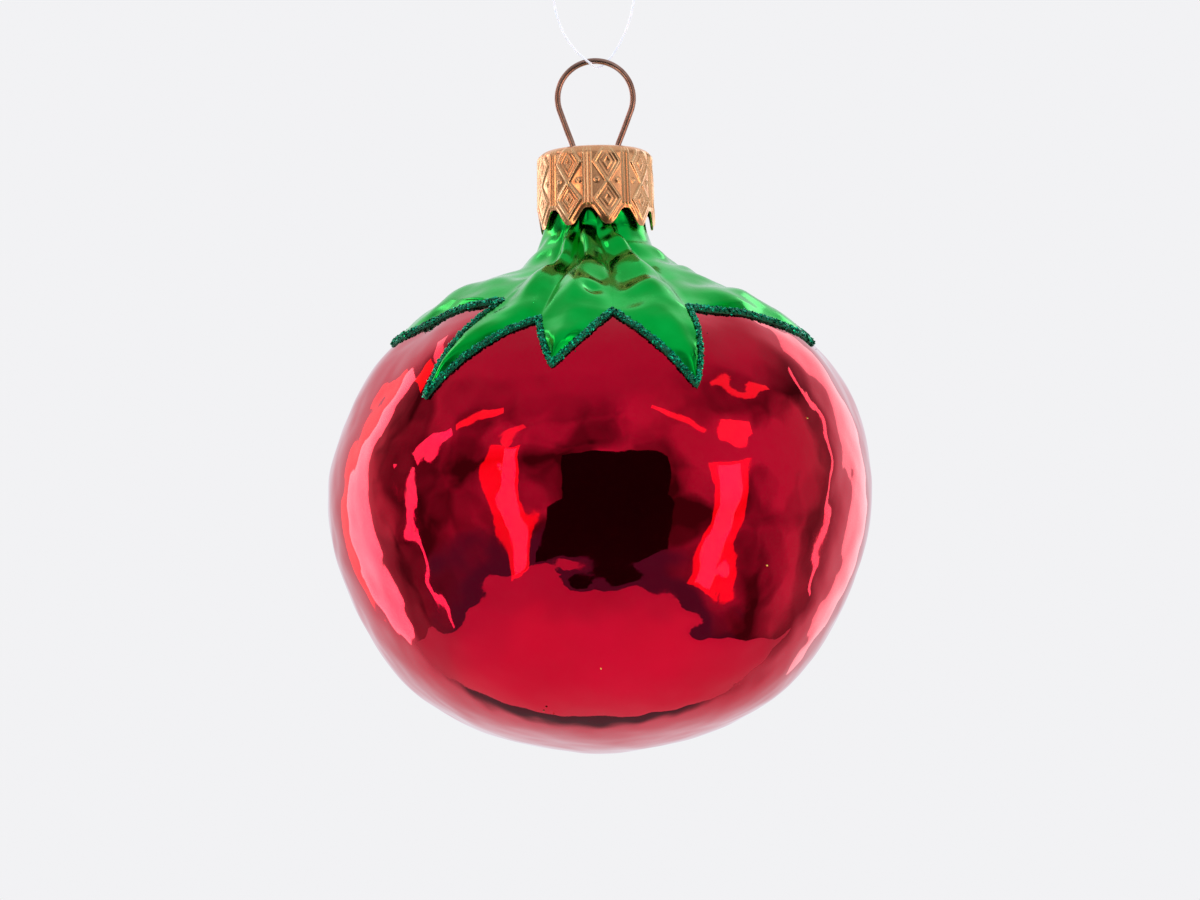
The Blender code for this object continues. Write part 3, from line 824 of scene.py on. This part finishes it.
def stamping(azimuth, height):
    """The stamped relief, from about -0.4 in the hollows to 1 on the lines."""
    turn = (azimuth - PANEL_TURN) * PANELS / 360.0
    pitch = math.tau * CAP_RADIUS / PANELS
    across = (turn - np.round(turn)) * pitch
    found = np.full(across.shape, -0.3)
    for middle, half in DIAMONDS:
        found = np.maximum(found, diamond_relief(across, height, middle, half))
    dot = np.hypot(np.abs(across) - DOT_PLACE[0], height - DOT_PLACE[1])
    found = np.maximum(found, 0.7 * raised(dot - 0.20, 0.12))
    gap = 0.5 * pitch - np.abs(across)
    ribs = 0.5 + 0.5 * np.cos(math.tau * gap / RIB_SPACING)
    ribs *= 1.0 - smooth_step(gap, 1.35 * RIB_SPACING, 1.5 * RIB_SPACING)
    ribs *= smooth_step(height, RIB_END, RIB_END + 0.3)
    return np.maximum(found, 1.15 * ribs - 0.3)


def in_slot(spots, margin):
    half = 0.5 * (SLOT_LENGTH - SLOT_WIDTH)
    past = np.maximum(np.abs(np.abs(spots[:, 0]) - SLOT_MIDDLE) - half, 0.0)
    return np.hypot(past, spots[:, 1]) < 0.5 * SLOT_WIDTH + margin


def cap_disc():
    """The flat top on a plane: its rim first, then triangles that leave out the two slots."""
    turns = np.radians(around(CAP_COLUMNS))
    reach = CAP_RADIUS - CAP_SHOULDER
    spots = [reach * np.stack([np.sin(turns), -np.cos(turns)], axis=1)]
    edges = [(i, (i + 1) % CAP_COLUMNS) for i in range(CAP_COLUMNS)]
    count, half = CAP_COLUMNS, 0.5 * (SLOT_LENGTH - SLOT_WIDTH)
    for side in (-1, 1):
        turns = math.tau * (np.arange(32) + 0.5) / 32
        x = side * SLOT_MIDDLE + 0.5 * SLOT_WIDTH * np.cos(turns) + half * np.sign(np.cos(turns))
        spots.append(np.stack([x, 0.5 * SLOT_WIDTH * np.sin(turns)], axis=1))
        edges += [(count + i, count + (i + 1) % 32) for i in range(32)]
        count += 32
    for radius in np.arange(0.5, reach - 0.3, 0.5):
        turns = np.arange(0.0, math.tau, 0.5 / radius)
        ring = radius * np.stack([np.sin(turns), -np.cos(turns)], axis=1)
        spots.append(ring[~in_slot(ring, 0.12)])
    spots = np.vstack(spots)
    verts, _, faces, *_ = delaunay_2d_cdt([Vector(p) for p in spots], edges, [], 0, 1e-6)
    verts = np.array([tuple(p) for p in verts])
    faces = [tuple(f) for f in faces]
    return verts, [f for f in faces if not in_slot(verts[list(f)].mean(0)[None], 0.0)[0]]


def cap_skin(inset):
    """The cap's skin, this far inside its outer face, with the stamping, as rings of points
    from the top's rim to the skirt's edge. The stamping is returned beside the points."""
    azimuth = around(CAP_COLUMNS)
    turn = np.radians(azimuth)
    bend = CAP_SHOULDER - inset
    rings, marks = [], []
    for angle in np.linspace(90.0, 0.0, SHOULDER_ROWS + 1)[1:-1]:
        out, up = math.cos(math.radians(angle)), math.sin(math.radians(angle))
        height = CAP_TOP - CAP_SHOULDER + CAP_SHOULDER * up
        mark = stamping(azimuth, np.full(CAP_COLUMNS, height)) * smooth_step(out, 0.55, 0.95)
        radius = CAP_RADIUS - CAP_SHOULDER + (bend + STAMP_HEIGHT * mark) * out
        rings.append((radius, np.full(CAP_COLUMNS, CAP_TOP - CAP_SHOULDER + bend * up)))
        marks.append(mark)
    start = CAP_TOP - CAP_SHOULDER
    for share in np.linspace(0.0, 1.0, CAP_ROWS + 1):
        height = start + share * (scallop(azimuth) - start)
        mark = stamping(azimuth, height) * smooth_step((1.0 - share), 0.0, 0.02)
        curl = 0.16 * smooth_step(share, 0.90, 1.0)
        radius = CAP_RADIUS - inset + CAP_FLARE * share + STAMP_HEIGHT * mark - curl
        rings.append((radius, height))
        marks.append(mark)
    points = [np.stack([r * np.sin(turn), -r * np.cos(turn), z], axis=1) for r, z in rings]
    return np.vstack(points), np.concatenate(marks)


def make_cap():
    """The stamped cup: sheet metal of one thickness, so the relief shows on both its faces."""
    disc, faces = cap_disc()
    rim = list(range(CAP_COLUMNS))
    rings = [rim] + [
        [len(disc) + row * CAP_COLUMNS + i for i in range(CAP_COLUMNS)]
        for row in range(SHOULDER_ROWS + CAP_ROWS)
    ]
    for upper, lower in zip(rings, rings[1:]):
        faces += [face[::-1] for face in stitch(upper, lower)]
    skins, marks = [], []
    dome = 0.12 * (1.0 - (np.linalg.norm(disc, axis=1) / (CAP_RADIUS - CAP_SHOULDER)) ** 2)
    for inset in (0.0, CAP_SHEET):
        skirt, mark = cap_skin(inset)
        top = np.column_stack([disc, CAP_TOP - inset + dome])
        skins.append(np.vstack([top, skirt]))
        marks.append(np.concatenate([np.zeros(len(disc)), mark]))
    points, faces = closed_plate(skins[0], skins[1], faces)
    tilt = math.radians(CAP_TILT)
    x, z = points[:, 0], points[:, 2] - CAP_PIVOT
    leaned = x * math.cos(tilt) - z * math.sin(tilt)
    lifted = x * math.sin(tilt) + z * math.cos(tilt) + CAP_PIVOT
    points = np.stack([leaned, points[:, 1], lifted], axis=1)
    metal = gold_stamping()
    piece = add_piece("stamped_cap", points, faces, [metal], "cap", sharp=50.0)
    # The relief attribute drives the metal's painted shade and painted highlight.
    relief = piece.data.attributes.new("relief", "FLOAT", "POINT")
    relief.data.foreach_set("value", np.clip(0.35 + 0.65 * np.concatenate(marks), 0.0, 1.0))
    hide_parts("crown_cap")


# ---------------------------------------------------------------- wire, thread and knot
def tube(line, radius, sides):
    """Points and faces of a round tube along a line, with domed ends."""
    line = np.asarray(line, float)
    along = np.gradient(line, axis=0)
    along /= np.linalg.norm(along, axis=1)[:, None]
    side = np.cross(along[0], (0.0, 1.0, 0.1))
    points, rings = [], []

    def ring(middle, direction, across, reach):
        turns = math.tau * np.arange(sides) / sides
        other = np.cross(direction, across)
        spots = middle + reach * (np.outer(np.cos(turns), across) + np.outer(np.sin(turns), other))
        rings.append(list(range(len(points), len(points) + sides)))
        points.extend(spots)

    def cap_end(middle, direction, across, outward, angles):
        for angle in angles:
            lift, reach = math.sin(angle), math.cos(angle)
            ring(middle + outward * radius * lift * direction, direction, across, radius * reach)

    angles = [math.radians(a) for a in (75.0, 50.0, 25.0)]
    for number, (middle, direction) in enumerate(zip(line, along)):
        side = side - direction * side.dot(direction)
        side /= np.linalg.norm(side)
        if number == 0:
            cap_end(middle, direction, side, -1.0, angles)
        ring(middle, direction, side, radius)
    cap_end(line[-1], along[-1], side, 1.0, angles[::-1])
    faces = [tuple(rings[0][::-1]), tuple(rings[-1])]
    for first, second in zip(rings, rings[1:]):
        faces += stitch(first, second)
    return points, faces


def hanger_line():
    """The hanger's centreline: left leg, loop and right leg."""
    top = WIRE / 2
    arc = []
    for turn in np.radians(np.linspace(90.0, LOOP_END, LOOP_STEPS + 1)):
        arc.append((LOOP_RADIUS * math.cos(turn), top - LOOP_RADIUS * (1.0 - math.sin(turn))))
    leg = smooth_line([arc[-1], *LEG], LEG_STEPS)
    right = arc + [tuple(spot) for spot in leg[1:]]
    left = [(-x, z) for x, z in right[:0:-1]]
    return np.array([(x, 0.0, z) for x, z in left + right])


def make_wire():
    points, faces = tube(hanger_line(), WIRE / 2, 20)
    piece = add_piece("spring_wire", points, faces, [bronzed_wire()], "hanger")
    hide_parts("hanger_wire")


def make_knot(finish):
    """The overhand knot in both ends of the thread, with its cut tails."""
    t = np.linspace(0.0, math.tau, 97)
    x, y, z = np.sin(t) + 2 * np.sin(2 * t), np.sin(3 * t), 2 * np.cos(2 * t) - np.cos(t)
    coil = KNOT_SCALE * np.stack([x, y, z], axis=1)
    middle = np.array(KNOT)
    lines = [middle + coil, middle + coil * 0.8 + np.array((0.0, 0.22, 0.05))]
    for side in (-1, 1):
        start = np.array(THREAD_ROUTE[0 if side < 0 else -1])
        turns = [start, start + (-side * 0.25, 0.0, 0.5), middle + (side * 0.2, 0.0, -0.3)]
        lines.append(smooth_line(turns, 8))
        tail = [(0.12, 0.1, 0.3), (0.35, 0.12, 0.9), (0.55, 0.2, 1.5), (0.95, 0.15, 2.1)]
        lines.append(smooth_line([middle + np.array(p) * (side, side, 1) for p in tail], 8))
    points, faces = [], []
    for line in lines:
        spots, made = tube(line, THREAD / 2, 12)
        faces += [tuple(p + len(points) for p in face) for face in made]
        points += spots
    piece = add_piece("overhand_knot", points, faces, [finish], "hang_thread")
    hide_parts("thread_knot")
    return piece


def make_thread():
    """The nylon thread, from one side of its knot, under the wire, to the other side."""
    finish = nylon()
    line = evenly_spaced(smooth_line(THREAD_ROUTE, 12), THREAD_POINTS)
    curve = bpy.data.curves.new("nylon_thread", "CURVE")
    curve.dimensions = "3D"
    curve.bevel_depth = THREAD / 2 * MM
    curve.bevel_resolution = 3
    curve.use_fill_caps = True
    spline = curve.splines.new("POLY")
    spline.points.add(len(line) - 1)
    for spot, point in zip(spline.points, line):
        spot.co = (*(point * MM), 1.0)
    curve.materials.append(finish)
    thread = bpy.data.objects.new("nylon_thread", curve)
    bpy.context.scene.collection.objects.link(thread)
    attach(thread, "hang_thread")
    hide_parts("hang_thread")
    make_knot(finish)


# ---------------------------------------------------------------- stage
def area_light(name, azimuth, elevation, distance, size, radiance, colour=(1, 1, 1), roll=0.0):
    """A soft box aimed at the bulb, turned by roll about its aim. Radiance is what a mirror shows
    of it."""
    data = bpy.data.lights.new(name, "AREA")
    data.shape = "RECTANGLE"
    data.size, data.size_y = size
    data.energy = radiance * math.pi * size[0] * size[1]
    data.color = colour
    light = bpy.data.objects.new(name, data)
    a, e = math.radians(azimuth), math.radians(elevation)
    back = Vector((math.sin(a) * math.cos(e), -math.cos(a) * math.cos(e), math.sin(e)))
    light.location = bulb_centre() + back * distance
    light.rotation_mode = "QUATERNION"
    turn = Quaternion((0.0, 0.0, 1.0), math.radians(roll))
    light.rotation_quaternion = back.to_track_quat("Z", "Y") @ turn
    bpy.context.scene.collection.objects.link(light)
    return light


def bulb_centre():
    low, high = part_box("glass_bulb")
    return Vector(((low.x + high.x) / 2, 0.0, low.z + 0.5 * (high.x - low.x)))


def make_world():
    """A pale surround, dimmer in front of the ornament like the studio behind the camera."""
    world = bpy.data.worlds.new("studio")
    world.use_nodes = True
    bpy.context.scene.world = world
    tree = world.node_tree
    tree.nodes.clear()
    output = tree.nodes.new("ShaderNodeOutputWorld")
    plain = tree.nodes.new("ShaderNodeBackground")
    plain.inputs["Color"].default_value = (0.887, 0.887, 0.905, 1.0)
    room = tree.nodes.new("ShaderNodeBackground")
    mix = tree.nodes.new("ShaderNodeMixShader")
    path = tree.nodes.new("ShaderNodeLightPath")
    tree.links.new(path.outputs["Is Camera Ray"], mix.inputs["Fac"])
    tree.links.new(room.outputs[0], mix.inputs[1])
    tree.links.new(plain.outputs[0], mix.inputs[2])
    tree.links.new(mix.outputs[0], output.inputs["Surface"])

    place = tree.nodes.new("ShaderNodeTexCoord")
    split = tree.nodes.new("ShaderNodeSeparateXYZ")
    tree.links.new(place.outputs["Generated"], split.inputs[0])
    patches = tree.nodes.new("ShaderNodeTexNoise")
    patches.inputs["Scale"].default_value = 1.7
    patches.inputs["Detail"].default_value = 3.0
    tree.links.new(place.outputs["Generated"], patches.inputs["Vector"])
    tone = ramp(tree, patches.outputs["Fac"], [(0.37, 0.07), (0.50, 0.34), (0.63, 0.72)])

    def blend(below, above, position, low, high):
        """below where position is under low, above where it is over high."""
        share = tree.nodes.new("ShaderNodeMapRange")
        share.interpolation_type = "SMOOTHSTEP"
        share.inputs["From Min"].default_value = low
        share.inputs["From Max"].default_value = high
        tree.links.new(position, share.inputs["Value"])
        found = tree.nodes.new("ShaderNodeMix")
        found.data_type = "RGBA"
        tree.links.new(share.outputs["Result"], found.inputs["Factor"])
        for side, socket in ((below, "A"), (above, "B")):
            if hasattr(side, "is_linked"):
                tree.links.new(side, found.inputs[socket])
            else:
                found.inputs[socket].default_value = side
        return found.outputs["Result"]

    ceiling = blend(tone, (0.60, 0.60, 0.62, 1.0), split.outputs["Z"], 0.50, 0.85)
    backdrop = blend(ceiling, (0.85, 0.85, 0.92, 1.0), split.outputs["Y"], 0.30, 0.62)
    slope = tree.nodes.new("ShaderNodeVectorMath")
    slope.operation = "DOT_PRODUCT"
    slope.inputs[1].default_value = (0.16, 0.18, 1.0)
    tree.links.new(place.outputs["Generated"], slope.inputs[0])
    ground = blend((0.12, 0.38, 0.34, 1.0), backdrop, slope.outputs["Value"], -0.69, -0.56)
    tree.links.new(ground, room.inputs["Color"])


def stage_sheet(name, corners, colour, roughness):
    """A flat, matt sheet of the studio, which shows only in reflections."""
    mesh = bpy.data.meshes.new(name)
    mesh.from_pydata(corners, [], [tuple(range(len(corners)))])
    made, *_ = new_material(name, {"Base Color": (*colour, 1.0), "Roughness": roughness})
    mesh.materials.append(made)
    sheet = bpy.data.objects.new(name, mesh)
    bpy.context.scene.collection.objects.link(sheet)
    sheet.visible_camera = False


def make_stage():
    """The floor far below the hanging ornament, and the dark shape of whoever photographs it."""
    middle = bulb_centre()
    floor = [(x, y, middle.z - FLOOR_DROP) for x, y in FLOOR]
    stage_sheet("pale_floor", floor, (0.93, 0.93, 0.95), 0.9)
    outline = [
        (math.tan(math.radians(a)) * FLAG_PLACE, -FLAG_PLACE, middle.z + z * FLAG_PLACE)
        for a, z in FLAG
    ]
    stage_sheet("dark_flag", outline, (0.001, 0.001, 0.001), 1.0)


def make_lights():
    warm, amber, red = (1.0, 0.97, 0.62), (1.0, 0.55, 0.25), (1.0, 0.08, 0.03)
    area_light("strip_left", -38.0, -8.0, 1.0, (0.14, 1.03), 2.4, warm)
    area_light("strip_right", 55.0, -15.0, 1.0, (0.20, 0.85), 2.4, warm)
    area_light("glow_left", -39.0, -8.0, 1.03, (0.25, 1.12), 1.3, red)
    area_light("glow_right", 56.0, -15.0, 1.03, (0.36, 0.96), 1.3, red)
    area_light("arch_left", -60.0, 35.0, 1.0, (0.36, 0.06), 1.4, amber, roll=33.0)
    area_light("arch_left_low", -36.0, 26.0, 1.0, (0.28, 0.05), 1.0, amber, roll=45.0)
    area_light("arch_right", 35.0, 28.0, 1.0, (0.46, 0.05), 1.4, amber, roll=-29.0)
    area_light("patch_right", 58.0, 20.0, 1.0, (0.17, 0.15), 1.6, amber)
    area_light("patch_left", -108.0, 36.0, 1.0, (0.22, 0.15), 1.8, red)
    area_light("cove_right", 74.0, 40.0, 1.0, (0.30, 0.05), 1.2, amber)
    area_light("window_left", -89.0, -12.0, 1.1, (0.05, 0.8), 2.2)
    area_light("window_left_fold", -80.0, 19.0, 1.1, (0.42, 0.10), 2.0, roll=49.0)
    area_light("window_left_far", -122.0, 4.0, 1.1, (0.26, 1.2), 2.4)
    area_light("glow_left_far", -131.0, 6.0, 1.14, (0.14, 1.0), 1.7, red)
    area_light("window_left_top", -114.0, 44.0, 1.1, (0.75, 0.08), 1.5)
    area_light("window_right", 141.0, 10.0, 1.1, (0.44, 1.3), 0.95)
    area_light("window_right_edge", 113.0, 8.0, 1.1, (0.05, 1.2), 2.0)
    fill = area_light("overhead", 0.0, 89.0, 1.3, (1.6, 1.6), 1.5)
    fill.visible_glossy = False


def make_camera():
    """At the photograph's angle: a little below the ornament's middle, looking slightly up."""
    data = bpy.data.cameras.new("camera")
    data.sensor_width = 36.0
    data.lens = CAMERA_LENS
    camera = bpy.data.objects.new("camera", data)
    place, aim = Vector(CAMERA) * MM, Vector(CAMERA_AIM) * MM
    camera.location = place
    camera.rotation_mode = "QUATERNION"
    camera.rotation_quaternion = (aim - place).to_track_quat("-Z", "Y")
    bpy.context.scene.collection.objects.link(camera)
    bpy.context.scene.camera = camera


def main():
    bpy.context.scene.view_settings.view_transform = "Standard"
    make_camera()
    make_thread()
    make_world()
    make_stage()
    make_lights()
    make_glass()
    make_calyx()
    loop = calyx_loop()
    make_bead(loop)
    make_flakes(loop)
    make_cap()
    make_wire()


main()
